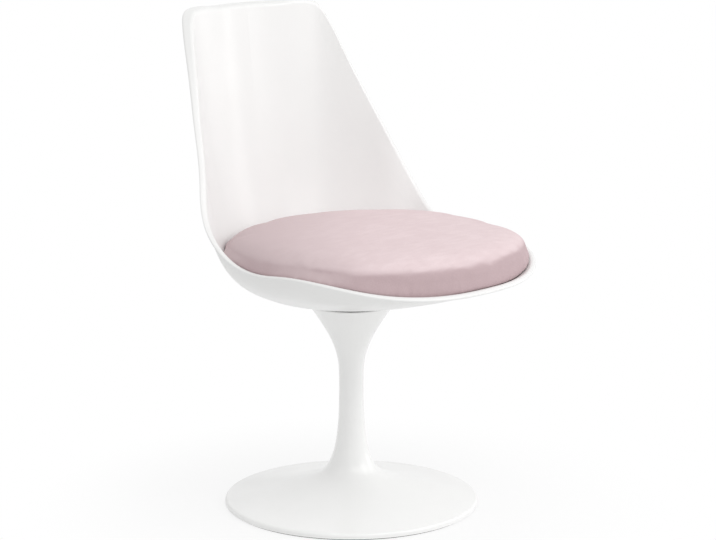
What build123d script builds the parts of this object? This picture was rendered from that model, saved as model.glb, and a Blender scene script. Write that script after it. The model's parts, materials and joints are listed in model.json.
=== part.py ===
from build123d import *
import os
from math import atan2, cos, hypot, pi, radians, sin, sqrt

# Swivelling side chair: a moulded shell on a trumpet pedestal, with a lift-off seat cushion.
# Millimetres, +Z up. The swivel axis is the Z axis, the floor is Z = 0 and the sitter faces -Y.

os.makedirs("parts", exist_ok=True)

# Pedestal casting
base_radius = 207.5
base_edge_height = 10.5
base_edge_round = 4.5
base_land = 16.0
knee_radius = 48.0
knee_height = 53.0
waist_radius = 20.0
waist_low = 190.0
waist_high = 215.0
mouth_radius = 69.5
pedestal_height = 334.0
mouth_round = 1.5
casting_wall = 5.5
cup_depth = 68.0
cup_floor_radius = 21.5
cup_bulge = 6.0
foot_hollow_height = 105.0
foot_hollow_radius = 18.5

# Curves of the casting: how far each one is pulled from its chord
dish_sag = 10.5
dish_sag_share = 0.53
knee_reach_out = 26.0
knee_reach_up = 27.5
hollow_reach_up = 25.0
hollow_ease = 22.0
stem_ease_share = 0.45
trumpet_ease_share = 0.35
trumpet_flare_share = 0.57
trumpet_flare = 15.0

# Floor glide, let into the underside of the base
glide_width = 9.0
glide_thickness = 3.0
glide_proud = 2.0
glide_play = 0.1

# Swivel bearing
spindle_radius = 9.0
running_clearance = 0.05
bush_wall = 3.0
bush_length = 26.0
bush_flange_radius = 18.0
bush_flange = 3.0
tube_wall = 2.0
race_radius = 19.5
race_thickness = 2.6
race_bore_play = 1.0
ball_radius = 2.5
ball_count = 12
ball_circle = 14.6
ball_play = 0.05
groove_depth = 0.9
cage_thickness = 2.2
cage_edge = 1.2
pocket_play = 0.12
end_play = 0.2
end_washer_radius = 15.5
end_washer_thickness = 1.5
ring_thickness = 1.2
ring_radius = 12.5
ring_seat_depth = 0.8
ring_mouth = 7.0
spindle_tail = 5.0
shoulder_radius = 16.0
spigot_radius = 10.0
spindle_chamfer = 1.0

# Mounting plate and its fasteners
swivel_gap = 1.5
plate_radius = 46.0
plate_thickness = 6.0
plate_chamfer = 0.8
screw_count = 4
screw_circle = 31.0
screw_start = 45.0
screw_radius = 4.0
screw_length = 28.0
screw_head_across = 13.0
screw_head_height = 5.3
screw_hole_play = 0.4
plain_washer_radius = 8.0
plain_washer_thickness = 1.6
spring_washer_radius = 7.0
spring_washer_thickness = 2.0
spring_washer_split = 1.6
insert_radius = 6.0
insert_length = 20.0
insert_end_play = 2.0

# Seat shell
boss_radius = 67.0
boss_depth = 38.5
boss_reveal = 5.5
shell_wall = 5.0
skirt_depth = 11.0
skirt_ease = 0.2
floor_rise = 26.5
floor_dip = 1.0
floor_front_rise = 19.0
seat_half_width = 238.0
seat_front = 281.0
seat_widest = 20.0
seat_squareness = 2.5
front_rim_rise = 38.0
side_rim_rise = 60.0
thigh_roll = 10.5
side_bend_share = 0.61
side_bend_rise_share = 0.33
floor_half_width = 203.0
floor_front = 238.0
floor_rear = 196.0
floor_bend = 34.0
wing_foot_rise = 118.0
wing_foot_depth = 76.0
wing_foot_half_width = 237.0
wing_bow = 2.0
back_rise = 434.0
back_depth = 238.0
back_half_width = 126.7
back_bow = 19.0
corner_drop = 23.0
corner_spread = 23.5
corner_lean = 0.6
corner_peak_share = 0.66
corner_peak_depth = 4.0
corner_peak_drop = 2.0
lip_radius = 7.0
lip_turn = 75.0
front_flange = 1.0
back_flange = 11.0
flange_growth = 3.0

# Cushion
pad_length = 88.0
pad_width = 25.0
pad_thickness = 2.2
pad_spacing = 44.0
board_thickness = 9.0
board_inset = 3.0
eave_rise = 5.0
board_play = 0.5
cover_thickness = 1.6
cover_hem = 22.0
cushion_gap = 2.0
cushion_side = 30.0
cushion_bulge = 1.8
cushion_shoulder = 12.0
cushion_crown = 14.0
crown_share = 0.72
swell_share = 0.4
cushion_tilt = 0.5

# Arcs of the cushion's outline, as shares of its half width, front or rear
loose_side = 1.3
snug_side = 2.0
loose_front = 1.12
snug_front = 1.04
loose_corner = 0.48
snug_corner = 0.2
rear_side_arc = 0.83
rear_arc = 1.44
rear_corner_arc = 0.25

# Inside the cushion
foam_gap = 0.5
staple_crown = 11.0
staple_wire = 1.2
staple_leg = 6.0
staple_inset = 12.0
staple_count = 16

# Heights that follow from the sizes above
bore_top = pedestal_height - cup_depth
bore_bottom = foot_hollow_height
bush_outer = spindle_radius + running_clearance + bush_wall
tube_outer = bush_outer + tube_wall
lower_race_bottom = bore_top + bush_flange
ball_height = lower_race_bottom + race_thickness - groove_depth + ball_radius + ball_play
upper_race_bottom = ball_height + ball_radius + ball_play - groove_depth
shoulder_height = upper_race_bottom + race_thickness
boss_face = pedestal_height + swivel_gap
plate_bottom = boss_face - plate_thickness
end_washer_top = bore_bottom - bush_flange - end_play
ring_top = end_washer_top - end_washer_thickness
spindle_bottom = ring_top - ring_thickness - spindle_tail
floor_height = boss_face + floor_rise
boss_top = boss_face + boss_depth
board_bottom = boss_top + 2 * pad_thickness
board_top = board_bottom + board_thickness


def along(start, end, share):
    return tuple(a + (b - a) * share for a, b in zip(start, end))


# Pedestal casting: a trumpet above a shallow dish, hollow at both ends
knee = (knee_radius, knee_height)
knee_slope = (0.76, -0.65)
edge_top = (base_radius - base_edge_round, base_edge_height)
edge_side = (base_radius, base_edge_height - base_edge_round)
mouth = (mouth_radius, pedestal_height)
waist_bottom = (waist_radius, waist_low)
waist_top = (waist_radius, waist_high)
land_inner = base_radius - base_land
knee_inner = (knee_radius + knee_slope[1] * casting_wall, knee_height - knee_slope[0] * casting_wall)
cup_floor = (cup_floor_radius, bore_top)
cup_mouth = (mouth_radius - casting_wall, pedestal_height)


def before_knee(point, reach):
    return (point[0] - knee_slope[0] * reach, point[1] - knee_slope[1] * reach)


def sagging(inner_end, outer_end):
    middle = along(inner_end, outer_end, dish_sag_share)
    return (middle[0], middle[1] - dish_sag)


with BuildPart() as pedestal_casting:
    with BuildSketch(Plane.XZ):
        with BuildLine():
            Polyline((0, pedestal_height), (0, glide_proud), (base_radius, glide_proud), edge_side)
            RadiusArc(edge_side, edge_top, -base_edge_round)
            Bezier(edge_top, sagging(knee, edge_top), before_knee(knee, -knee_reach_out), knee)
            stem_pull = (waist_radius, along(knee, waist_bottom, stem_ease_share)[1])
            Bezier(knee, before_knee(knee, knee_reach_up), stem_pull, waist_bottom)
            Line(waist_bottom, waist_top)
            trumpet_low = (waist_radius, along(waist_top, mouth, trumpet_ease_share)[1])
            trumpet_high = along(waist_top, mouth, trumpet_flare_share)
            Bezier(waist_top, trumpet_low, (trumpet_high[0] - trumpet_flare, trumpet_high[1]), mouth)
            Line(mouth, (0, pedestal_height))
        make_face()
    revolve(axis=Axis.Z)
    with BuildSketch(Plane.XZ):
        with BuildLine():
            hollow_top = (foot_hollow_radius, foot_hollow_height)
            land_top = (land_inner, base_edge_height - casting_wall)
            Polyline(hollow_top, (0, foot_hollow_height), (0, 0), (land_inner, 0), land_top)
            dish_pull = before_knee(knee_inner, -knee_reach_out)
            Bezier(land_top, sagging(knee_inner, land_top), dish_pull, knee_inner)
            hollow_pull = (foot_hollow_radius, foot_hollow_height - hollow_ease)
            Bezier(knee_inner, before_knee(knee_inner, hollow_reach_up), hollow_pull, hollow_top)
        make_face()
    revolve(axis=Axis.Z, mode=Mode.SUBTRACT)
    with BuildSketch(Plane.XZ):
        with BuildLine():
            Polyline(cup_mouth, (0, pedestal_height), (0, bore_top), cup_floor)
            cup_mid = along(cup_floor, cup_mouth, 0.5)
            cup_pull = (cup_mid[0] - cup_bulge, cup_mid[1] + cup_bulge)
            Bezier(cup_floor, cup_pull, cup_mouth)
        make_face()
    revolve(axis=Axis.Z, mode=Mode.SUBTRACT)
    with BuildSketch(Plane.XY.offset(foot_hollow_height)):
        Circle(tube_outer)
    extrude(amount=bore_top - foot_hollow_height, mode=Mode.SUBTRACT)
    glide_middle = base_radius - base_land / 2
    with BuildSketch(Plane.XY.offset(glide_proud)):
        Circle(glide_middle + glide_width / 2 + glide_play)
        Circle(glide_middle - glide_width / 2 - glide_play, mode=Mode.SUBTRACT)
    extrude(amount=glide_thickness - glide_proud, mode=Mode.SUBTRACT)
    mouth_edges = pedestal_casting.edges().group_by(Axis.Z)[-1]
    fillet(mouth_edges, mouth_round)
pedestal_casting.part.label = "pedestal_casting"
export_step(pedestal_casting.part, "parts/pedestal_casting.step")

with BuildPart() as base_glide:
    with BuildSketch():
        Circle(glide_middle + glide_width / 2)
        Circle(glide_middle - glide_width / 2, mode=Mode.SUBTRACT)
    extrude(amount=glide_thickness)
base_glide.part.label = "base_glide"
export_step(base_glide.part, "parts/base_glide.step")

# Swivel bearing: a lined bore, a thrust race of balls and a turned spindle
with BuildPart() as bearing_tube:
    with BuildSketch(Plane.XY.offset(bore_bottom)):
        Circle(tube_outer)
        Circle(bush_outer, mode=Mode.SUBTRACT)
    extrude(amount=bore_top - bore_bottom)
bearing_tube.part.label = "bearing_tube"
export_step(bearing_tube.part, "parts/bearing_tube.step")


def flanged_bush(face, direction):
    with BuildPart() as bush:
        with BuildSketch(Plane.XY.offset(face)):
            Circle(bush_flange_radius)
        extrude(amount=direction * bush_flange)
        with BuildSketch(Plane.XY.offset(face)):
            Circle(bush_outer)
        extrude(amount=-direction * bush_length)
        with BuildSketch(Plane.XY.offset(face + direction * bush_flange)):
            Circle(spindle_radius + running_clearance)
        extrude(amount=-direction * (bush_flange + bush_length), mode=Mode.SUBTRACT)
    return bush.part


upper_bush = flanged_bush(bore_top, 1)
upper_bush.label = "upper_bush"
export_step(upper_bush, "parts/upper_bush.step")

lower_bush = flanged_bush(bore_bottom, -1)
lower_bush.label = "lower_bush"
export_step(lower_bush, "parts/lower_bush.step")


def thrust_race(bottom):
    with BuildPart() as race:
        with BuildSketch(Plane.XY.offset(bottom)):
            Circle(race_radius)
            Circle(spindle_radius + race_bore_play, mode=Mode.SUBTRACT)
        extrude(amount=race_thickness)
        with Locations((0, 0, ball_height)):
            Torus(ball_circle, ball_radius + ball_play, mode=Mode.SUBTRACT)
    return race.part


lower_race = thrust_race(lower_race_bottom)
lower_race.label = "lower_race"
export_step(lower_race, "parts/lower_race.step")

upper_race = thrust_race(upper_race_bottom)
upper_race.label = "upper_race"
export_step(upper_race, "parts/upper_race.step")

with BuildPart() as ball_cage:
    with BuildSketch(Plane.XY.offset(ball_height - cage_thickness / 2)):
        Circle(ball_circle + ball_radius + cage_edge)
        Circle(ball_circle - ball_radius - cage_edge, mode=Mode.SUBTRACT)
        with PolarLocations(ball_circle, ball_count):
            Circle(ball_radius + pocket_play, mode=Mode.SUBTRACT)
    extrude(amount=cage_thickness)
ball_cage.part.label = "ball_cage"
export_step(ball_cage.part, "parts/ball_cage.step")

with BuildPart() as bearing_balls:
    with Locations(Plane.XY.offset(ball_height)):
        with PolarLocations(ball_circle, ball_count):
            Sphere(ball_radius)
bearing_balls.part.label = "bearing_balls"
export_step(bearing_balls.part, "parts/bearing_balls.step")

with BuildPart() as spindle:
    with BuildSketch(Plane.XZ):
        with BuildLine():
            Polyline(
                (0, spindle_bottom),
                (spindle_radius - spindle_chamfer, spindle_bottom),
                (spindle_radius, spindle_bottom + spindle_chamfer),
                (spindle_radius, ring_top - ring_thickness),
                (spindle_radius - ring_seat_depth, ring_top - ring_thickness),
                (spindle_radius - ring_seat_depth, ring_top),
                (spindle_radius, ring_top),
                (spindle_radius, shoulder_height),
                (shoulder_radius, shoulder_height),
                (shoulder_radius, plate_bottom),
                (spigot_radius, plate_bottom),
                (spigot_radius, boss_face),
                (0, boss_face),
                close=True,
            )
        make_face()
    revolve(axis=Axis.Z)
spindle.part.label = "spindle"
export_step(spindle.part, "parts/spindle.step")

with BuildPart() as end_washer:
    with BuildSketch(Plane.XY.offset(ring_top)):
        Circle(end_washer_radius)
        Circle(spindle_radius + running_clearance, mode=Mode.SUBTRACT)
    extrude(amount=end_washer_thickness)
end_washer.part.label = "end_washer"
export_step(end_washer.part, "parts/end_washer.step")

with BuildPart() as retaining_ring:
    with BuildSketch(Plane.XY.offset(ring_top - ring_thickness)):
        Circle(ring_radius)
        Circle(spindle_radius - ring_seat_depth, mode=Mode.SUBTRACT)
        with Locations((0, -ring_radius / 2)):
            Rectangle(ring_mouth, ring_radius, mode=Mode.SUBTRACT)
    extrude(amount=ring_thickness)
retaining_ring.part.label = "retaining_ring"
export_step(retaining_ring.part, "parts/retaining_ring.step")

# Mounting plate, bolted to threaded inserts in the shell's boss
with BuildPart() as mounting_plate:
    with BuildSketch(Plane.XY.offset(plate_bottom)):
        Circle(plate_radius)
        Circle(spigot_radius, mode=Mode.SUBTRACT)
        with PolarLocations(screw_circle, screw_count, start_angle=screw_start):
            Circle(screw_radius + screw_hole_play, mode=Mode.SUBTRACT)
    extrude(amount=plate_thickness)
    plate_rim = mounting_plate.edges().filter_by(GeomType.CIRCLE).group_by(SortBy.RADIUS)[-1]
    chamfer(plate_rim, plate_chamfer)
mounting_plate.part.label = "mounting_plate"
export_step(mounting_plate.part, "parts/mounting_plate.step")

spring_washer_bottom = plate_bottom - plain_washer_thickness - spring_washer_thickness
screw_head_bottom = spring_washer_bottom - screw_head_height

with BuildPart() as plain_washers:
    with BuildSketch(Plane.XY.offset(plate_bottom - plain_washer_thickness)):
        with PolarLocations(screw_circle, screw_count, start_angle=screw_start):
            Circle(plain_washer_radius)
            Circle(screw_radius + screw_hole_play, mode=Mode.SUBTRACT)
    extrude(amount=plain_washer_thickness)
plain_washers.part.label = "plain_washers"
export_step(plain_washers.part, "parts/plain_washers.step")

with BuildPart() as spring_washers:
    with BuildSketch(Plane.XY.offset(spring_washer_bottom)):
        with PolarLocations(screw_circle, screw_count, start_angle=screw_start):
            Circle(spring_washer_radius)
            Circle(screw_radius + screw_hole_play, mode=Mode.SUBTRACT)
        with PolarLocations(screw_circle + spring_washer_radius / 2, screw_count, start_angle=screw_start):
            Rectangle(spring_washer_radius, spring_washer_split, mode=Mode.SUBTRACT)
    extrude(amount=spring_washer_thickness)
spring_washers.part.label = "spring_washers"
export_step(spring_washers.part, "parts/spring_washers.step")

with BuildPart() as plate_screws:
    with BuildSketch(Plane.XY.offset(screw_head_bottom)):
        with PolarLocations(screw_circle, screw_count, start_angle=screw_start):
            RegularPolygon(screw_head_across / 2, 6, major_radius=False)
    extrude(amount=screw_head_height)
    with BuildSketch(Plane.XY.offset(spring_washer_bottom)):
        with PolarLocations(screw_circle, screw_count, start_angle=screw_start):
            Circle(screw_radius)
    extrude(amount=screw_length)
plate_screws.part.label = "plate_screws"
export_step(plate_screws.part, "parts/plate_screws.step")

with BuildPart() as shell_inserts:
    with BuildSketch(Plane.XY.offset(boss_face)):
        with PolarLocations(screw_circle, screw_count, start_angle=screw_start):
            Circle(insert_radius)
            Circle(screw_radius, mode=Mode.SUBTRACT)
    extrude(amount=insert_length)
shell_inserts.part.label = "shell_inserts"
export_step(shell_inserts.part, "parts/shell_inserts.step")

# Seat shell: upright sections through the swivel axis, one for each station along the rim
front_rim_height = floor_height + front_rim_rise
side_rim_height = floor_height + side_rim_rise
back_height = floor_height + back_rise
wing_foot = (wing_foot_half_width, wing_foot_depth, floor_height + wing_foot_rise)
corner_depth = back_depth - back_bow
corner_end = (back_half_width, corner_depth, back_height)
corner_peak = (
    back_half_width + corner_peak_share * corner_spread,
    corner_depth - corner_peak_depth,
    back_height - corner_peak_drop,
)
wing_top = (
    back_half_width + corner_spread,
    corner_depth - corner_lean * corner_drop,
    back_height - corner_drop,
)


def seat_rim(turn):
    x = seat_half_width * sin(turn) ** (2 / seat_squareness)
    y = -seat_widest - (seat_front - seat_widest) * cos(turn) ** (2 / seat_squareness)
    share = (y + seat_front) / (seat_front - seat_widest)
    return (x, y, front_rim_height + (side_rim_height - front_rim_height) * sin(share * pi / 2))


def wing_rim(share):
    x, y, z = along(wing_foot, wing_top, share)
    return (x, y + wing_bow * sin(pi * share), z)


def top_rim(share):
    return (back_half_width * share, back_depth - back_bow * share**2, back_height)


def corner_rim(share):
    first = along(wing_top, corner_peak, share)
    second = along(corner_peak, corner_end, share)
    return along(first, second, share)


side_bend = (
    seat_half_width,
    along((0, -seat_widest), wing_foot, side_bend_share)[1],
    along((0, 0, side_rim_height), wing_foot, side_bend_rise_share)[2],
)
rim_points = [(0, -seat_front, front_rim_height)]
rim_points += [seat_rim(radians(turn)) for turn in (12, 26, 40, 54, 68, 80)]
rim_points += [(seat_half_width, -seat_widest, side_rim_height), side_bend]
rim_points += [wing_rim(share) for share in (0, 0.25, 0.5, 0.75, 1)]
rim_points += [corner_rim(0.35), corner_rim(0.7), corner_end]
rim_points += [top_rim(share) for share in (0.55, 0)]

rim_line = Spline(*rim_points, tangents=[(1, 0, 0), (-1, 0, 0)])
rim_shares = [rim_line.param_at_point(point) for point in rim_points]
rim_shares += [(a + b) / 2 for a, b in zip(rim_shares, rim_shares[1:])]
half_rim = [rim_line @ share for share in sorted(rim_shares)]
front_overlap = [Vector(-p.X, p.Y, p.Z) for p in half_rim[2:0:-1]]
rear_overlap = [Vector(-p.X, p.Y, p.Z) for p in half_rim[-2:-4:-1]]
stations = front_overlap + half_rim + rear_overlap


def floor_reach(angle):
    length = floor_rear if sin(angle) > 0 else floor_front
    width_term = abs(cos(angle) / floor_half_width) ** seat_squareness
    length_term = abs(sin(angle) / length) ** seat_squareness
    return (width_term + length_term) ** (-1 / seat_squareness)


def meridian_plane(angle):
    return Plane((0, 0, 0), x_dir=(cos(angle), sin(angle), 0), z_dir=(sin(angle), -cos(angle), 0))


def unit(vector):
    return vector / vector.length


def outward(direction):
    return Vector(direction.Y, -direction.X)


def bowl_curve(rim_point, margin):
    # Control points of the bowl's section, from the boss to the rim, moved into the bowl by a margin
    angle = atan2(rim_point.Y, rim_point.X)
    hub = Vector(boss_radius - 2 * shell_wall, floor_height - floor_dip)
    frontness = max(0, -sin(angle)) ** 2
    corner = Vector(floor_reach(angle), floor_height + floor_front_rise * frontness)
    rim = Vector(hypot(rim_point.X, rim_point.Y), rim_point.Z)
    rise = rim - corner
    bend = min(floor_bend, 0.45 * rise.length)
    points = [hub, (hub + corner) / 2, corner - unit(corner - hub) * bend, corner + unit(rise) * bend]
    points += [corner + rise * 0.5, corner + rise * 0.75, rim]
    legs = [unit(b - a) for a, b in zip(points, points[1:])]
    normals = [outward(leg) for leg in [legs[0]] + legs + [legs[-1]]]
    return [p - (n + m) * (margin / (1 + n.dot(m))) for p, n, m in zip(points, normals, normals[1:])]


def lip_arc(start, climb, radius):
    # An arc that turns outwards from the top of a section: its three points, and the way it heads at its end
    away = outward(climb)
    half_turn, turn = radians(lip_turn / 2), radians(lip_turn)
    middle = start + climb * (radius * sin(half_turn)) + away * (radius * (1 - cos(half_turn)))
    end = start + climb * (radius * sin(turn)) + away * (radius * (1 - cos(turn)))
    return start, middle, end, climb * cos(turn) + away * sin(turn)


with BuildPart() as seat_shell:
    for station in stations:
        inner = bowl_curve(station, 0)
        outer = bowl_curve(station, -shell_wall)
        boss_under = boss_face + boss_reveal
        outer[0] = Vector(outer[0].X, boss_under)
        outer[1] = Vector(outer[1].X, outer[1].Y - skirt_depth)
        outer[2] = Vector(outer[2].X, outer[2].Y - skirt_ease * skirt_depth)
        climb = unit(inner[-1] - inner[-2])
        thigh_share = min(max((station.Y + seat_front) / (seat_front - seat_widest), 0), 1)
        roll = climb * (thigh_roll * sin(pi * thigh_share) ** 2)
        inner[-1] = inner[-1] + roll
        outer[-1] = outer[-1] + roll
        face_start, face_middle, face_end, lip_heading = lip_arc(inner[-1], climb, lip_radius)
        _, under_middle, under_end, _ = lip_arc(outer[-1], climb, lip_radius - shell_wall)
        height_share = max(station.Z - front_rim_height, 0) / (back_height - front_rim_height)
        flange = lip_heading * (front_flange + (back_flange - front_flange) * height_share**flange_growth)
        edge_point = (face_end + under_end) / 2 + flange + lip_heading * (shell_wall / 2)
        with BuildSketch(meridian_plane(atan2(station.Y, station.X))):
            with BuildLine():
                Bezier(*inner)
                ThreePointArc(face_start, face_middle, face_end)
                Line(face_end, face_end + flange)
                ThreePointArc(face_end + flange, edge_point, under_end + flange)
                Line(under_end + flange, under_end)
                ThreePointArc(under_end, under_middle, outer[-1])
                Bezier(*reversed(outer))
                Line(outer[0], inner[0])
            make_face()
    loft()
    split(bisect_by=Plane.YZ, keep=Keep.TOP)
    mirror(about=Plane.YZ)
    with BuildSketch(Plane.XY.offset(boss_face)):
        Circle(boss_radius)
    extrude(amount=boss_depth)
    with BuildSketch(Plane.XY.offset(boss_face)):
        with PolarLocations(screw_circle, screw_count, start_angle=screw_start):
            Circle(insert_radius)
    extrude(amount=insert_length + insert_end_play, mode=Mode.SUBTRACT)
seat_shell.part.label = "seat_shell"
export_step(seat_shell.part, "parts/seat_shell.step")

# Hook and loop pads between the boss and the cushion board


def fastening_pads(bottom):
    with BuildPart() as pads:
        with BuildSketch(Plane.XY.offset(bottom)):
            with GridLocations(0, pad_spacing, 1, 2):
                RectangleRounded(pad_length, pad_width, pad_width / 8)
        extrude(amount=pad_thickness)
    return pads.part


hook_pads = fastening_pads(boss_top)
hook_pads.label = "hook_pads"
export_step(hook_pads, "parts/hook_pads.step")

loop_pads = fastening_pads(boss_top + pad_thickness)
loop_pads.label = "loop_pads"
export_step(loop_pads, "parts/loop_pads.step")

# Cushion: outlines that follow the bowl up to the rim, then swell a little and close in a crown
front_station = half_rim[0]
side_station = Vector(seat_half_width, -seat_widest, side_rim_height)
rear_station = half_rim[-1]
shoulder_top = side_rim_height + cushion_side


def bowl_reach(rim_point, height):
    curve = Bezier(*bowl_curve(rim_point, cushion_gap))
    low, high = 0.0, 1.0
    for _ in range(24):
        middle = (low + high) / 2
        if (curve @ middle).Y < height:
            low = middle
        else:
            high = middle
    return (curve @ low).X


def quarter(side, waist, end, side_radius, end_radius, corner_radius):
    # Where a corner arc meets a side arc and an end arc, with the middles of the side arc and the corner arc
    heading = 1 if end > waist else -1
    side_center = Vector(side - side_radius, waist)
    end_center = Vector(0, end - heading * end_radius)
    span = end_center - side_center
    side_gap = side_radius - corner_radius
    end_gap = end_radius - corner_radius
    reach = (span.length**2 + side_gap**2 - end_gap**2) / (2 * span.length)
    offset_out = sqrt(max(side_gap**2 - reach**2, 0))
    forward = unit(span)
    across = Vector(-forward.Y, forward.X) * (-heading)
    options = [side_center + forward * reach + across * offset_out * sign for sign in (1, -1)]
    corner = max(options, key=lambda point: point.X + heading * point.Y)
    on_side = side_center + unit(corner - side_center) * side_radius
    on_end = end_center + unit(corner - end_center) * end_radius
    side_middle = side_center + unit((on_side - side_center) + Vector(side_radius, 0)) * side_radius
    corner_middle = corner + unit((on_side - corner) + (on_end - corner)) * corner_radius
    return on_side, on_end, side_middle, corner_middle


def cushion_outline(height, inset, snug, share=1):
    # Corners are rounder inside the bowl, and follow the rim above it where snug is 1
    front = -share * (bowl_reach(front_station, height) - inset)
    side = share * (bowl_reach(side_station, height) - inset)
    rear = share * (bowl_reach(rear_station, height) - inset)
    waist = -seat_widest * side / seat_half_width
    side_radius = (loose_side + (snug_side - loose_side) * snug) * side
    front_radius = -(loose_front + (snug_front - loose_front) * snug) * front
    front_corner = (loose_corner + (snug_corner - loose_corner) * snug) * side
    front_points = quarter(side, waist, front, side_radius, front_radius, front_corner)
    rear_points = quarter(side, waist, rear, rear_side_arc * side, rear_arc * rear, rear_corner_arc * side)

    def left(point):
        return (-point.X, point.Y)

    on_side, on_end, side_middle, corner_middle = front_points
    rear_side, rear_end, rear_side_middle, rear_corner = rear_points
    with BuildSketch() as outline:
        with BuildLine():
            ThreePointArc(left(on_end), (0, front), on_end)
            ThreePointArc(on_end, corner_middle, on_side)
            ThreePointArc(on_side, side_middle, (side, waist))
            ThreePointArc((side, waist), rear_side_middle, rear_side)
            ThreePointArc(rear_side, rear_corner, rear_end)
            ThreePointArc(rear_end, (0, rear), left(rear_end))
            ThreePointArc(left(rear_end), left(rear_corner), left(rear_side))
            ThreePointArc(left(rear_side), left(rear_side_middle), (-side, waist))
            ThreePointArc((-side, waist), left(side_middle), left(on_side))
            ThreePointArc(left(on_side), left(corner_middle), left(on_end))
        make_face()
    return outline.sketch


def cushion_plane(height, leaning):
    tilt = radians(cushion_tilt * leaning)
    return Plane((0, 0, height), x_dir=(1, 0, 0), z_dir=(0, -sin(tilt), cos(tilt)))


def board_outline(inset):
    return cushion_outline(hem_bottom, board_inset + inset, 0)


def cushion_form(bottom, margin):
    # A closed form from the board's outline up, drawn in by a margin all round and from above and below
    side_middle = (board_top + side_rim_height) / 2
    swell_height = side_rim_height + swell_share * cushion_side
    levels = [(board_top + eave_rise + margin, board_top, board_inset, 0, 1)]
    levels += [(side_middle + margin, side_middle, board_inset, 0.5, 1)]
    levels += [(side_rim_height, side_rim_height, 0, 1, 1)]
    levels += [(swell_height, swell_height, -cushion_bulge, 1, 1)]
    for turn in (0, 30, 60):
        height = shoulder_top - cushion_shoulder * (1 - sin(radians(turn)))
        inset = cushion_shoulder * (1 - cos(radians(turn))) - cushion_bulge / 2
        levels += [(height - margin, height, inset, 1, 1)]
    for turn in (20, 40, 60, 80):
        height = shoulder_top + cushion_crown * sin(radians(turn))
        share = 1 - crown_share * (1 - cos(radians(turn)))
        levels += [(height - margin, height, cushion_shoulder, 1, share)]
    with BuildPart() as form:
        for height in (bottom, board_top + margin):
            with BuildSketch(cushion_plane(height, 0)):
                add(board_outline(margin))
        for height, bowl_height, inset, snug, share in levels:
            with BuildSketch(cushion_plane(height, snug)):
                add(cushion_outline(bowl_height, inset + margin, snug, share))
        loft(ruled=True)
    return form.part


hem_bottom = board_bottom - cover_thickness

with BuildPart() as cover_staples:
    seam = board_outline(staple_inset).wire()
    for index in range(staple_count):
        spot = seam @ (index / staple_count)
        heading = seam % (index / staple_count)
        upright = Plane((spot.X, spot.Y, hem_bottom), x_dir=heading, z_dir=heading.cross(Vector(0, 0, 1)))
        with BuildSketch(upright):
            half = staple_crown / 2
            leg_top = cover_thickness + staple_leg
            with BuildLine():
                Polyline(
                    (-half, -staple_wire),
                    (half, -staple_wire),
                    (half, leg_top),
                    (half - staple_wire, leg_top),
                    (half - staple_wire, 0),
                    (staple_wire - half, 0),
                    (staple_wire - half, leg_top),
                    (-half, leg_top),
                    close=True,
                )
            make_face()
        extrude(amount=staple_wire / 2, both=True)
cover_staples.part.label = "cover_staples"
export_step(cover_staples.part, "parts/cover_staples.step")

with BuildPart() as cushion_board:
    with BuildSketch(Plane.XY.offset(board_bottom)):
        add(board_outline(cover_thickness + board_play))
    extrude(amount=board_thickness)
    add(cover_staples.part, mode=Mode.SUBTRACT)
cushion_board.part.label = "cushion_board"
export_step(cushion_board.part, "parts/cushion_board.step")

cushion_foam = cushion_form(board_top, cover_thickness + foam_gap)
cushion_foam.label = "cushion_foam"
export_step(cushion_foam, "parts/cushion_foam.step")

with BuildPart() as cushion_cover:
    add(cushion_form(hem_bottom, 0))
    add(cushion_form(board_bottom, cover_thickness), mode=Mode.SUBTRACT)
    with BuildSketch(Plane.XY.offset(hem_bottom)):
        add(board_outline(cover_hem))
    extrude(amount=cover_thickness, mode=Mode.SUBTRACT)
    add(cover_staples.part, mode=Mode.SUBTRACT)
cushion_cover.part.label = "cushion_cover"
export_step(cushion_cover.part, "parts/cushion_cover.step")
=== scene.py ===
import json
from math import atan2, radians, sin

import bmesh
import bpy
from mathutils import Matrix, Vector
from mathutils.bvhtree import BVHTree


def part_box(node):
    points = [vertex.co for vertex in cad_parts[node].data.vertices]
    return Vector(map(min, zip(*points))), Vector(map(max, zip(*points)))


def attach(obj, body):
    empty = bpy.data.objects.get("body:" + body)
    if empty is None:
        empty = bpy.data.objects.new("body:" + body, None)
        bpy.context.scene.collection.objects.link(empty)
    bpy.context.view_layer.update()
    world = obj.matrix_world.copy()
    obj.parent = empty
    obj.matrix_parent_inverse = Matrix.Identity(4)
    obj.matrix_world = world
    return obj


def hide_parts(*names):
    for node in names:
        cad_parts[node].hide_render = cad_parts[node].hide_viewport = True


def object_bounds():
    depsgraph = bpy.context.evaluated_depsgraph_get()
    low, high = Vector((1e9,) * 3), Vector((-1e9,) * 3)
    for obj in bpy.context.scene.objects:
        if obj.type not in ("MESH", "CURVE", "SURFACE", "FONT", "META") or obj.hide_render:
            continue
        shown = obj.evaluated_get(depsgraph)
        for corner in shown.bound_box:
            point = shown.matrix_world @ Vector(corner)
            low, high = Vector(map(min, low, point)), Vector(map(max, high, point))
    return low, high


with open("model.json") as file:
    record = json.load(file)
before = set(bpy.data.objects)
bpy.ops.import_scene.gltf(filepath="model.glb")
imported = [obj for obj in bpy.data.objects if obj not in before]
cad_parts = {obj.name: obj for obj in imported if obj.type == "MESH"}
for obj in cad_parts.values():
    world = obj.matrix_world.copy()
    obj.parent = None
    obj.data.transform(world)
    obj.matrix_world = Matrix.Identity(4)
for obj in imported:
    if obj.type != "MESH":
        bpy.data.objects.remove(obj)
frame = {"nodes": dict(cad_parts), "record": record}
cadLow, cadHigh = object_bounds()
nodes = frame["nodes"]
scene = bpy.context.scene
scene.view_settings.view_transform = "Standard"
print("frame loaded:", len(nodes), "nodes")


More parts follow.
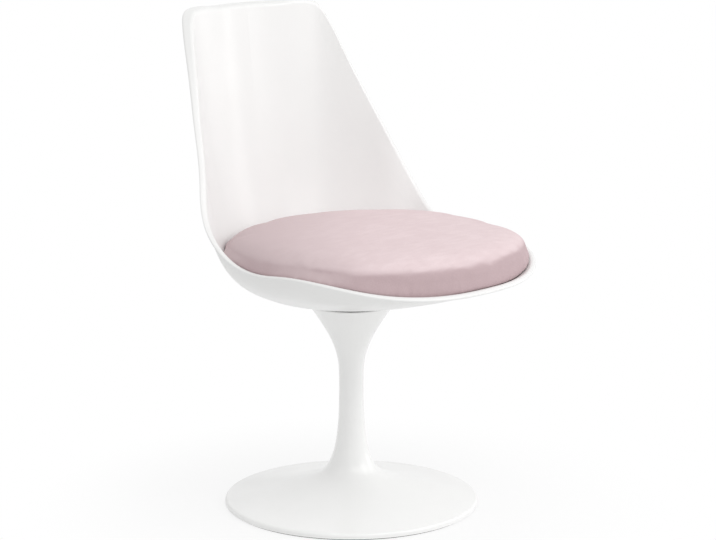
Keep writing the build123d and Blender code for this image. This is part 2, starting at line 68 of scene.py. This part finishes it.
def hexToLinear(code):
    # sRGB hex to the linear colour that a shader takes
    parts = [int(code[i:i + 2], 16) / 255 for i in (1, 3, 5)]
    return [p / 12.92 if p <= 0.04045 else ((p + 0.055) / 1.055) ** 2.4 for p in parts] + [1.0]


def addNode(tree, kind, inputs=None, **settings):
    # one node: settings are its properties, inputs are values or other nodes' outputs
    node = tree.nodes.new(kind)
    for name, value in settings.items():
        setattr(node, name, value)
    for name, value in (inputs or {}).items():
        if isinstance(value, bpy.types.NodeSocket):
            tree.links.new(value, node.inputs[name])
        else:
            node.inputs[name].default_value = value
    return node


def newMaterial(name):
    # an empty material, its output node, and Object coordinates in metres
    material = bpy.data.materials.new(name)
    material.use_nodes = True
    tree = material.node_tree
    tree.nodes.clear()
    output = addNode(tree, "ShaderNodeOutputMaterial")
    coords = addNode(tree, "ShaderNodeTexCoord").outputs["Object"]
    return material, tree, output, coords


def perMetre(millimetres):
    # texture scale whose features are this many millimetres apart
    return 1000.0 / millimetres


noiseSpan = (0.3, 0.7)  # most of a noise texture's values lie in here


def mottle(tree, coords, look, spacingMm, detail):
    # one noise drives a finish's colour and its roughness together
    noise = addNode(tree, "ShaderNodeTexNoise", {"Vector": coords, "Scale": perMetre(spacingMm), "Detail": detail})
    colour = addNode(tree, "ShaderNodeMix", {0: noise.outputs["Fac"], 6: hexToLinear(look["light"]),
                                             7: hexToLinear(look["dark"])}, data_type="RGBA")
    rub = addNode(tree, "ShaderNodeMapRange", {
        "Value": noise.outputs["Fac"], "From Min": noiseSpan[0], "From Max": noiseSpan[1],
        "To Min": look["roughness"][0], "To Max": look["roughness"][1]})
    return colour.outputs[2], rub.outputs["Result"]


# camera at the photograph's viewing angle
view = {"place": (-2.7148, -2.6216, 1.179), "pitch": 78.18, "turn": -46.1645, "lens": 119.97, "sensor": 36.0}

cameraData = bpy.data.cameras.new("camera")
cameraData.lens = view["lens"]
cameraData.sensor_width = view["sensor"]
camera = bpy.data.objects.new("camera", cameraData)
camera.location = view["place"]
camera.rotation_euler = (radians(view["pitch"]), 0.0, radians(view["turn"]))
scene.collection.objects.link(camera)
scene.camera = camera
print("camera placed")


# white finishes: the shell's gel coat is polished in the mould over glass mat, whose faint ripple shows in the
# gloss; the pedestal's coating is baked on a casting, so it is softer and has a fine orange peel
whiteFinishes = {
    "shellGelCoat": {"light": "#F0F0EF", "dark": "#EBEBEA", "roughness": (0.29, 0.35), "hazeMm": 90.0,
                     "rippleMm": 60.0, "rippleDepth": 0.01, "peelMm": 4.0, "peelDepth": 0.004, "coat": 0.1},
    "pedestalCoating": {"light": "#F8F8F7", "dark": "#F4F4F3", "roughness": (0.3, 0.38), "hazeMm": 60.0,
                        "rippleMm": 90.0, "rippleDepth": 0.01, "peelMm": 2.2, "peelDepth": 0.012, "coat": 0.5},
}
whiteSkin = {"index": 1.5, "coatRoughness": 0.16, "rippleHigh": 0.004, "peelHigh": 0.0006}  # heights in metres


def whiteFinish(name):
    look = whiteFinishes[name]
    material, tree, output, coords = newMaterial(name)
    colour, rub = mottle(tree, coords, look, look["hazeMm"], 4.0)
    ripple = addNode(tree, "ShaderNodeTexNoise", {"Vector": coords, "Scale": perMetre(look["rippleMm"]),
                                                  "Detail": 1.0})
    peel = addNode(tree, "ShaderNodeTexNoise", {"Vector": coords, "Scale": perMetre(look["peelMm"]),
                                                "Detail": 1.0})
    wave = addNode(tree, "ShaderNodeBump", {"Height": ripple.outputs["Fac"], "Strength": look["rippleDepth"],
                                            "Distance": whiteSkin["rippleHigh"]})
    skin = addNode(tree, "ShaderNodeBump", {"Height": peel.outputs["Fac"], "Strength": look["peelDepth"],
                                            "Distance": whiteSkin["peelHigh"], "Normal": wave.outputs["Normal"]})
    surface = addNode(tree, "ShaderNodeBsdfPrincipled", {
        "Base Color": colour, "Roughness": rub, "IOR": whiteSkin["index"], "Coat Weight": look["coat"],
        "Coat Roughness": whiteSkin["coatRoughness"], "Normal": skin.outputs["Normal"]})
    tree.links.new(surface.outputs["BSDF"], output.inputs["Surface"])
    return material


# metal finishes: lathe rings round the swivel axis, a dull cloud of zinc or oil, or a polish
metalFinishes = {
    "turnedSteel": {"light": "#B9B9BB", "dark": "#98989B", "roughness": (0.24, 0.38), "cloudMm": 12.0,
                    "ringMm": 0.9, "ringDepth": 0.25},
    "polishedSteel": {"light": "#D6D6DA", "dark": "#C4C4C8", "roughness": (0.05, 0.1), "cloudMm": 3.0,
                      "ringMm": 0.5, "ringDepth": 0.02},
    "springSteel": {"light": "#5C5A59", "dark": "#3C3B3D", "roughness": (0.3, 0.45), "cloudMm": 4.0,
                    "ringMm": 0.6, "ringDepth": 0.1},
    "zincPlate": {"light": "#D2D4D6", "dark": "#AEB2B8", "roughness": (0.22, 0.42), "cloudMm": 5.0,
                  "ringMm": 0.7, "ringDepth": 0.06},
    "machinedBrass": {"light": "#D9B872", "dark": "#B58E48", "roughness": (0.2, 0.34), "cloudMm": 7.0,
                      "ringMm": 0.8, "ringDepth": 0.2},
}
waveRing = 0.314  # a wave texture at a scale of 1 gives about one ring in 0.31 units
ringHigh = 0.0002  # metres


def metalFinish(name):
    look = metalFinishes[name]
    material, tree, output, coords = newMaterial(name)
    colour, rub = mottle(tree, coords, look, look["cloudMm"], 5.0)
    rings = addNode(tree, "ShaderNodeTexWave", {"Vector": coords, "Scale": waveRing * perMetre(look["ringMm"]),
                                                "Distortion": 0.6, "Detail": 1.0},
                    wave_type="RINGS", rings_direction="Z")
    cut = addNode(tree, "ShaderNodeBump", {"Height": rings.outputs["Fac"], "Strength": look["ringDepth"],
                                           "Distance": ringHigh})
    surface = addNode(tree, "ShaderNodeBsdfPrincipled", {
        "Base Color": colour, "Metallic": 1.0, "Roughness": rub, "Normal": cut.outputs["Normal"]})
    tree.links.new(surface.outputs["BSDF"], output.inputs["Surface"])
    return material


# dark finishes: matt moulded polythene, turned acetal and satin paint, each with its own grain
darkFinishes = {
    "glidePolythene": {"light": "#4A4A4C", "dark": "#38383A", "roughness": (0.5, 0.68), "grainMm": 1.2,
                       "depth": 0.2, "index": 1.51},
    "turnedAcetal": {"light": "#343436", "dark": "#262628", "roughness": (0.36, 0.5), "grainMm": 0.8,
                     "depth": 0.12, "index": 1.48},
    "platePaint": {"light": "#2E2E30", "dark": "#222224", "roughness": (0.3, 0.44), "grainMm": 1.6,
                   "depth": 0.18, "index": 1.5},
}
dustMm = 22.0
grainHigh = 0.0004  # metres


def darkFinish(name):
    look = darkFinishes[name]
    material, tree, output, coords = newMaterial(name)
    colour, rub = mottle(tree, coords, look, dustMm, 5.0)
    grain = addNode(tree, "ShaderNodeTexNoise", {"Vector": coords, "Scale": perMetre(look["grainMm"]),
                                                 "Detail": 2.0})
    pits = addNode(tree, "ShaderNodeBump", {"Height": grain.outputs["Fac"], "Strength": look["depth"],
                                            "Distance": grainHigh})
    surface = addNode(tree, "ShaderNodeBsdfPrincipled", {
        "Base Color": colour, "Roughness": rub, "IOR": look["index"], "Normal": pits.outputs["Normal"]})
    tree.links.new(surface.outputs["BSDF"], output.inputs["Surface"])
    return material


# birch plywood, rotary cut and sanded: pale, with long soft figure across the board and fine pores
birch = {"light": "#DCC49E", "dark": "#C29F70", "figureMm": 26.0, "poreMm": 1.1, "stretch": 9.0, "roughness": 0.62,
         "index": 1.5, "poreDepth": 0.25, "poreHigh": 0.0004}

birchPly, tree, output, coords = newMaterial("birchPly")
along = addNode(tree, "ShaderNodeMapping", {"Vector": coords, "Scale": (1.0 / birch["stretch"], 1.0, 1.0)})
figure = addNode(tree, "ShaderNodeTexNoise", {"Vector": along.outputs["Vector"], "Detail": 6.0, "Distortion": 1.4,
                                              "Scale": perMetre(birch["figureMm"])})
pores = addNode(tree, "ShaderNodeTexNoise", {"Vector": along.outputs["Vector"], "Detail": 2.0,
                                             "Scale": perMetre(birch["poreMm"])})
colour = addNode(tree, "ShaderNodeMix", {0: figure.outputs["Fac"], 6: hexToLinear(birch["light"]),
                                         7: hexToLinear(birch["dark"])}, data_type="RGBA")
fibre = addNode(tree, "ShaderNodeBump", {"Height": pores.outputs["Fac"], "Strength": birch["poreDepth"],
                                         "Distance": birch["poreHigh"]})
surface = addNode(tree, "ShaderNodeBsdfPrincipled", {
    "Base Color": colour.outputs[2], "Roughness": birch["roughness"], "IOR": birch["index"],
    "Normal": fibre.outputs["Normal"]})
tree.links.new(surface.outputs["BSDF"], output.inputs["Surface"])


# woven nylon tape: rows of hooks or loops stand on it, so it is matt with a close grid of tufts
tape = {"light": "#EDEDE8", "dark": "#BFBFB8", "tuftMm": 1.5, "scatter": 0.35, "tuftDepth": 0.8, "tuftHigh": 0.0008,
        "roughness": 0.78, "index": 1.53, "sheen": 0.3}

hookTape, tree, output, coords = newMaterial("nylonHookTape")
tufts = addNode(tree, "ShaderNodeTexVoronoi", {"Vector": coords, "Scale": perMetre(tape["tuftMm"]),
                                               "Randomness": tape["scatter"]})
# painted shade: the colour darkens from each tuft's top into the hollows between the tufts
colour = addNode(tree, "ShaderNodeMix", {0: tufts.outputs["Distance"], 6: hexToLinear(tape["light"]),
                                         7: hexToLinear(tape["dark"])}, data_type="RGBA")
pile = addNode(tree, "ShaderNodeBump", {"Height": tufts.outputs["Distance"], "Strength": tape["tuftDepth"],
                                        "Distance": tape["tuftHigh"]}, invert=True)
surface = addNode(tree, "ShaderNodeBsdfPrincipled", {
    "Base Color": colour.outputs[2], "Roughness": tape["roughness"], "IOR": tape["index"],
    "Sheen Weight": tape["sheen"], "Normal": pile.outputs["Normal"]})
tree.links.new(surface.outputs["BSDF"], output.inputs["Surface"])


# brushed suede cloth: a short nap in soft patches and strokes, paler where it leans to the light; the sides carry a
# painted shade, darker than the top, and towards one side of the seat the colour darkens in a painted shade
suede = {
    "light": "#E9D7D9", "dark": "#E2CFD1", "fleck": "#D2BDBF", "side": "#BEA8AB", "paintedFalloffShade": "#C8B6B8",
    "patchMm": 75.0, "strokeMm": 11.0, "strokeTurn": 35.0, "strokeStretch": 0.4, "napMm": 1.3,
    "lean": (0.14, 0.38), "sideToTop": (0.25, 0.85),  # the second is the normal's Z
    "shadeFadeTowards": (0.69, -0.72, 0.0), "shadeFadeSpan": (-0.2, 0.08),  # metres from the swivel axis
    "fleckSpan": (0.5, 0.8), "fleckShare": 0.5, "napDepth": 0.35, "napHigh": 0.0009, "strokeDepth": 0.12,
    "strokeHigh": 0.003, "roughness": 0.92, "index": 1.45, "specular": 0.2, "sheen": 0.2, "sheenRoughness": 0.45,
    "sheenTint": "#F3E4E5",
}

cushionSuede, tree, output, coords = newMaterial("brushedSuede")
patch = addNode(tree, "ShaderNodeTexNoise", {"Vector": coords, "Scale": perMetre(suede["patchMm"]), "Detail": 3.0,
                                             "Distortion": 0.8})
brush = addNode(tree, "ShaderNodeMapping", {"Vector": coords, "Rotation": (0.0, 0.0, radians(suede["strokeTurn"])),
                                            "Scale": (suede["strokeStretch"], 1.0, 1.0)})
stroke = addNode(tree, "ShaderNodeTexNoise", {"Vector": brush.outputs["Vector"],
                                              "Scale": perMetre(suede["strokeMm"]), "Detail": 4.0})
lay = addNode(tree, "ShaderNodeMath", {0: patch.outputs["Fac"], 1: stroke.outputs["Fac"]}, operation="MULTIPLY")
leaning = addNode(tree, "ShaderNodeMapRange", {"Value": lay.outputs["Value"], "From Min": suede["lean"][0],
                                               "From Max": suede["lean"][1]})
nap = addNode(tree, "ShaderNodeTexNoise", {"Vector": coords, "Scale": perMetre(suede["napMm"]), "Detail": 3.0})
body = addNode(tree, "ShaderNodeMix", {0: leaning.outputs["Result"], 6: hexToLinear(suede["dark"]),
                                       7: hexToLinear(suede["light"])}, data_type="RGBA")
# painted shade: a fixed gradient darkens the seat towards one side, the side away from the light
across = addNode(tree, "ShaderNodeVectorMath", {0: coords, 1: suede["shadeFadeTowards"]}, operation="DOT_PRODUCT")
shadeFade = addNode(tree, "ShaderNodeMapRange", {"Value": across.outputs["Value"], "From Min": suede["shadeFadeSpan"][0],
                                              "From Max": suede["shadeFadeSpan"][1]}, interpolation_type="SMOOTHSTEP")
body = addNode(tree, "ShaderNodeMix", {0: shadeFade.outputs["Result"], 6: hexToLinear(suede["paintedFalloffShade"]),
                                       7: body.outputs[2]}, data_type="RGBA")
# painted shade: faces that turn away from up get the darker side colour, and the top stays pale
normal = addNode(tree, "ShaderNodeNewGeometry").outputs["Normal"]
facing = addNode(tree, "ShaderNodeSeparateXYZ", {"Vector": normal})
litTopShare = addNode(tree, "ShaderNodeMapRange", {"Value": facing.outputs["Z"], "From Min": suede["sideToTop"][0],
                                              "From Max": suede["sideToTop"][1]}, interpolation_type="SMOOTHSTEP")
body = addNode(tree, "ShaderNodeMix", {0: litTopShare.outputs["Result"], 6: hexToLinear(suede["side"]),
                                       7: body.outputs[2]}, data_type="RGBA")
speck = addNode(tree, "ShaderNodeMapRange", {"Value": nap.outputs["Fac"], "From Min": suede["fleckSpan"][0],
                                             "From Max": suede["fleckSpan"][1], "To Max": suede["fleckShare"]})
colour = addNode(tree, "ShaderNodeMix", {0: speck.outputs["Result"], 6: body.outputs[2],
                                         7: hexToLinear(suede["fleck"])}, data_type="RGBA")
fuzz = addNode(tree, "ShaderNodeBump", {"Height": nap.outputs["Fac"], "Strength": suede["napDepth"],
                                        "Distance": suede["napHigh"]})
lean = addNode(tree, "ShaderNodeBump", {"Height": stroke.outputs["Fac"], "Strength": suede["strokeDepth"],
                                        "Distance": suede["strokeHigh"], "Normal": fuzz.outputs["Normal"]})
surface = addNode(tree, "ShaderNodeBsdfPrincipled", {
    "Base Color": colour.outputs[2], "Roughness": suede["roughness"], "IOR": suede["index"],
    "Specular IOR Level": suede["specular"], "Sheen Weight": suede["sheen"],
    "Sheen Roughness": suede["sheenRoughness"], "Sheen Tint": hexToLinear(suede["sheenTint"]),
    "Normal": lean.outputs["Normal"]})
tree.links.new(surface.outputs["BSDF"], output.inputs["Surface"])

finishes = {
    "pedestal_enamel": whiteFinish("pedestalCoating"), "shell_gloss": whiteFinish("shellGelCoat"),
    "turned_steel": metalFinish("turnedSteel"), "polished_steel": metalFinish("polishedSteel"),
    "spring_steel": metalFinish("springSteel"), "zinc_steel": metalFinish("zincPlate"),
    "cage_brass": metalFinish("machinedBrass"), "glide_plastic": darkFinish("glidePolythene"),
    "bush_plastic": darkFinish("turnedAcetal"), "plate_paint": darkFinish("platePaint"),
    "plywood": birchPly, "hook_tape": hookTape, "cushion_suede": cushionSuede, "foam": cushionSuede,
}
for part in frame["record"]["subparts"]:
    mesh = nodes[part["node"]].data
    mesh.materials.clear()
    mesh.materials.append(finishes[part["material_slot"]])
print("finishes given to the nodes:", len(finishes))


# seat cushion: foam on a board under a tight cloth cover, whose hem is stapled below; values in Mm are
# millimetres, and those with Over are heights over the board's top
pad = {
    "voxelMm": 5.0, "startInMm": 2.0, "startFullOverMm": 20.0, "heldOverMm": 4.0,
    "spreadMm": 9.0, "spreadFromMm": 100.0, "spreadToMm": 200.0,  # from the board's middle
    "spreadFromOverMm": 20.0, "spreadToOverMm": 45.0, "softenTimes": 120, "softenOverMm": 34.0,
    "rearSettleMm": 3.0, "settleFromMm": -40.0, "settleToMm": 140.0,  # along Y
    "pressure": 3.0, "lastFrame": 20, "quality": 5, "mostMoveMm": 3.0, "calmTimes": 3,
    "fitGapMm": 1.0, "fitReachMm": 18.0, "fitStartMm": 40.0, "fitFullOverMm": 12.0,
    "fitNormal": 0.5, "fitBlend": 0.4,  # sides whose normal's Z is under the first, in full once under by the second
    "sideFromOverMm": 2.0, "sideToOverMm": 50.0, "sideTimes": 2,
    "cutShare": 0.35, "pleats": 34, "pleatMm": 0.7, "gatherFromMm": 2.0,
    # the hem's turns: how far in, and the height over the board's or the cover's bottom
    "hemTurns": [(0.0, "board", 0.8), (0.8, "cover", 0.3), (3.0, "cover", 0.0), (11.0, "cover", 0.0),
                 (22.0, "cover", 0.0), (22.4, "board", 1.0)],
}

boardLow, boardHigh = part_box("cushion_board")
coverLow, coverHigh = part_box("cushion_cover")
boardTop = boardHigh.z
cutHeight = boardLow.z + pad["cutShare"] * (boardTop - boardLow.z)
middle = Vector((0.0, (boardLow.y + boardHigh.y) / 2, 0.0))


def metres(name):
    return pad[name] / 1000


def ramp(value, start, end):
    share = min(max((value - start) / (end - start), 0.0), 1.0)
    return share * share * (3.0 - 2.0 * share)


def outFromMiddle(place):
    # level, from the board's middle
    return Vector((place.x, place.y, 0.0)) - middle


def smoothVerts(bm, verts, times):
    for _ in range(times):
        bmesh.ops.smooth_vert(bm, verts=verts, factor=0.5, use_axis_x=True, use_axis_y=True, use_axis_z=True)


def appliedMesh(thing):
    # the object's mesh with its modifiers applied, which then go
    graph = bpy.context.evaluated_depsgraph_get()
    mesh = bpy.data.meshes.new_from_object(thing.evaluated_get(graph))
    thing.modifiers.clear()
    return mesh


bm = bmesh.new()
for name in ("cushion_cover", "cushion_foam", "cushion_board"):
    bm.from_mesh(nodes[name].data)
bmesh.ops.remove_doubles(bm, verts=bm.verts, dist=1e-6)
cushionMesh = bpy.data.meshes.new("seatCushion")
bm.to_mesh(cushionMesh)
bm.free()
cushion = bpy.data.objects.new("seatCushion", cushionMesh)
scene.collection.objects.link(cushion)
remesh = cushion.modifiers.new("remesh", "REMESH")
remesh.mode = "VOXEL"
remesh.voxel_size = metres("voxelMm")
solid = appliedMesh(cushion)
cushion.data = solid

# the foam's edge is spread, then softened into a wide shoulder, and its back has settled; the pad swells, so it
# starts a little smaller, and its board end is held still
bm = bmesh.new()
bm.from_mesh(solid)
smoothVerts(bm, bm.verts, 1)
for vert in bm.verts:
    outward = outFromMiddle(vert.co)
    reach = ramp(outward.length, metres("spreadFromMm"), metres("spreadToMm"))
    reach *= ramp(vert.co.z, boardTop + metres("spreadFromOverMm"), boardTop + metres("spreadToOverMm"))
    vert.co += outward.normalized() * (reach * metres("spreadMm"))
smoothVerts(bm, [vert for vert in bm.verts if vert.co.z > boardTop + metres("softenOverMm")], pad["softenTimes"])
bm.normal_update()
for vert in bm.verts:
    share = ramp(vert.co.z, boardTop, boardTop + metres("startFullOverMm"))
    height = ramp(vert.co.z, boardTop, coverHigh.z)
    vert.co -= vert.normal * metres("startInMm") * share
    vert.co.z -= metres("rearSettleMm") * height * ramp(vert.co.y, metres("settleFromMm"), metres("settleToMm"))
bm.to_mesh(solid)
bm.free()
held = cushion.vertex_groups.new(name="heldByBoard")
for vert in solid.vertices:
    if vert.co.z < boardTop + metres("heldOverMm"):
        held.add([vert.index], 1.0, "REPLACE")
startPlaces = [vert.co.copy() for vert in solid.vertices]
print("cushion remeshed:", len(startPlaces), "points")

cloth = cushion.modifiers.new("cover", "CLOTH")
cloth.settings.use_pressure = True
cloth.settings.uniform_pressure_force = pad["pressure"]
cloth.settings.effector_weights.gravity = 0.0
cloth.settings.vertex_group_mass = "heldByBoard"
cloth.settings.quality = pad["quality"]
cloth.point_cache.frame_start = 1
cloth.point_cache.frame_end = pad["lastFrame"]
for step in range(1, pad["lastFrame"] + 1):
    scene.frame_set(step)
swollen = appliedMesh(cushion)
scene.frame_set(1)
mostMove = metres("mostMoveMm")
farthest = 0.0
for vert, start in zip(swollen.vertices, startPlaces):
    move = vert.co - start
    farthest = max(farthest, move.length)
    if move.length > mostMove:
        vert.co = start + move * (mostMove / move.length)
cushion.data = swollen
print("cover simulated, farthest move %.1f mm, cut to %.1f" % (farthest * 1000, pad["mostMoveMm"]))

# the foam is pressed into the bowl, so the sides move out until they almost touch the shell
shellMesh = nodes["seat_shell"].data
shellTree = BVHTree.FromPolygons([vert.co for vert in shellMesh.vertices],
                                 [face.vertices for face in shellMesh.polygons])
fitGap, fitReach, fitStart = metres("fitGapMm"), metres("fitReachMm"), metres("fitStartMm")
bm = bmesh.new()
bm.from_mesh(cushion.data)
smoothVerts(bm, [vert for vert in bm.verts if vert.co.z > boardTop + metres("heldOverMm")], pad["calmTimes"])
bm.normal_update()
for vert in bm.verts:
    near, _, _, distance = shellTree.find_nearest(vert.co, fitReach)
    lower = ramp(pad["fitNormal"] - vert.normal.z, 0.0, pad["fitBlend"])
    lower *= ramp(vert.co.z, boardTop, boardTop + metres("fitFullOverMm"))
    if distance and distance > fitGap:
        vert.co += (near - vert.co) * ((1.0 - fitGap / distance) * lower)
sideLow, sideHigh = boardTop + metres("sideFromOverMm"), boardTop + metres("sideToOverMm")
smoothVerts(bm, [vert for vert in bm.verts if sideLow < vert.co.z < sideHigh], pad["sideTimes"])
for vert in bm.verts:
    outward = outFromMiddle(vert.co).normalized()
    distance = shellTree.ray_cast(vert.co - outward * fitStart, outward, fitStart + fitGap)[3]
    if distance:
        vert.co += outward * (distance - fitStart - fitGap)

# below the cut the cover turns under the board and ends in a gathered hem
bmesh.ops.bisect_plane(bm, geom=list(bm.verts) + list(bm.edges) + list(bm.faces), plane_co=(0.0, 0.0, cutHeight),
                       plane_no=(0.0, 0.0, 1.0), clear_inner=True)
rim = [edge for edge in bm.edges if edge.is_boundary]
bottoms = {"board": boardLow.z, "cover": coverLow.z}
lastInset = 0.0
for insetMm, bottom, overMm in pad["hemTurns"]:
    inset = insetMm / 1000
    made = bmesh.ops.extrude_edge_only(bm, edges=rim)["geom"]
    rim = [item for item in made if isinstance(item, bmesh.types.BMEdge) and item.is_boundary]
    for vert in {vert for edge in rim for vert in edge.verts}:
        outward = outFromMiddle(vert.co).normalized()
        vert.co -= outward * (inset - lastInset)
        gather = 0.0
        if insetMm > pad["gatherFromMm"]:
            angle = atan2(outward.y, outward.x)
            gather = metres("pleatMm") * max(0.0, sin(pad["pleats"] * angle))
        vert.co.z = bottoms[bottom] + overMm / 1000 + gather
    lastInset = inset
bmesh.ops.triangle_fill(bm, use_beauty=True, edges=rim)
bmesh.ops.recalc_face_normals(bm, faces=bm.faces)
for face in bm.faces:
    face.smooth = True
finished = bpy.data.meshes.new("seatCushion")
bm.to_mesh(finished)
bm.free()
cushion.data = finished
cushion.vertex_groups.clear()
finished.materials.clear()
finished.materials.append(cushionSuede)
finer = cushion.modifiers.new("finer", "SUBSURF")
finer.levels = 1
finer.render_levels = 1
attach(cushion, "cushion")
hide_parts("cushion_cover", "cushion_foam")
print("cushion finished")


# plain pale floor: it keeps the shadow near the base and fades to the white backdrop
studio = {"floorWhite": "#F2F2F2", "floorSize": 30.0, "floorDrop": 0.0002, "shadowShare": 0.2, "fadeFrom": 0.2,
          "fadeTo": 0.55, "skyLight": 0.72}
white = (1.0, 1.0, 1.0, 1.0)


def seenRays(tree):
    # 1 for rays from the camera, in gloss and through glass, which see the white backdrop, and 0 for the rest
    rays = addNode(tree, "ShaderNodeLightPath")
    seen = rays.outputs["Is Camera Ray"]
    for name in ("Is Glossy Ray", "Is Transmission Ray"):
        either = addNode(tree, "ShaderNodeMath", {0: seen, 1: rays.outputs[name]}, operation="MAXIMUM")
        seen = either.outputs["Value"]
    return seen


floorMaterial, tree, output, coords = newMaterial("studioPaper")
away = addNode(tree, "ShaderNodeVectorMath", {0: coords}, operation="LENGTH")
fade = addNode(tree, "ShaderNodeMapRange", {"Value": away.outputs["Value"], "From Min": studio["fadeFrom"],
                                            "From Max": studio["fadeTo"], "To Min": 1.0 - studio["shadowShare"]},
               interpolation_type="SMOOTHSTEP")
share = addNode(tree, "ShaderNodeMath", {0: seenRays(tree), 1: fade.outputs["Result"]}, operation="MULTIPLY")
paper = addNode(tree, "ShaderNodeBsdfDiffuse", {"Color": hexToLinear(studio["floorWhite"])})
glow = addNode(tree, "ShaderNodeEmission", {"Color": white, "Strength": 1.0})
mixed = addNode(tree, "ShaderNodeMixShader", {0: share.outputs["Value"], 1: paper.outputs["BSDF"],
                                              2: glow.outputs["Emission"]})
tree.links.new(mixed.outputs["Shader"], output.inputs["Surface"])

floorMesh = bpy.data.meshes.new("studioFloor")
bm = bmesh.new()
bmesh.ops.create_grid(bm, x_segments=1, y_segments=1, size=studio["floorSize"])
bm.to_mesh(floorMesh)
bm.free()
floorMesh.materials.append(floorMaterial)
floor = bpy.data.objects.new("studioFloor", floorMesh)
floor.location.z = cadLow.z - studio["floorDrop"]
scene.collection.objects.link(floor)

world = bpy.data.worlds.new("studioWhite")
scene.world = world
world.use_nodes = True
tree = world.node_tree
tree.nodes.clear()
output = addNode(tree, "ShaderNodeOutputWorld")
level = addNode(tree, "ShaderNodeMapRange", {"Value": seenRays(tree), "To Min": studio["skyLight"]})
sky = addNode(tree, "ShaderNodeBackground", {"Color": white, "Strength": level.outputs["Result"]})
tree.links.new(sky.outputs["Background"], output.inputs["Surface"])

# soft boxes, in metres and watts, each aimed at the seat
lamps = {
    "keyBox": {"place": (1.3, -2.9, 2.3), "size": (1.6, 1.6), "watts": 25.0},
    "stripBox": {"place": (2.6, -1.4, 1.1), "size": (0.8, 1.8), "watts": 8.0},
    "topBox": {"place": (-0.6, -1.5, 2.5), "size": (1.8, 1.8), "watts": 15.0},
}
lampAim = Vector((0.0, 0.0, 0.5))
for name, lamp in lamps.items():
    light = bpy.data.lights.new(name, "AREA")
    light.shape = "RECTANGLE"
    light.size, light.size_y = lamp["size"]
    light.energy = lamp["watts"]
    holder = bpy.data.objects.new(name, light)
    holder.location = lamp["place"]
    holder.rotation_euler = (lampAim - holder.location).to_track_quat("-Z", "Y").to_euler()
    scene.collection.objects.link(holder)
print("floor and lamps placed")
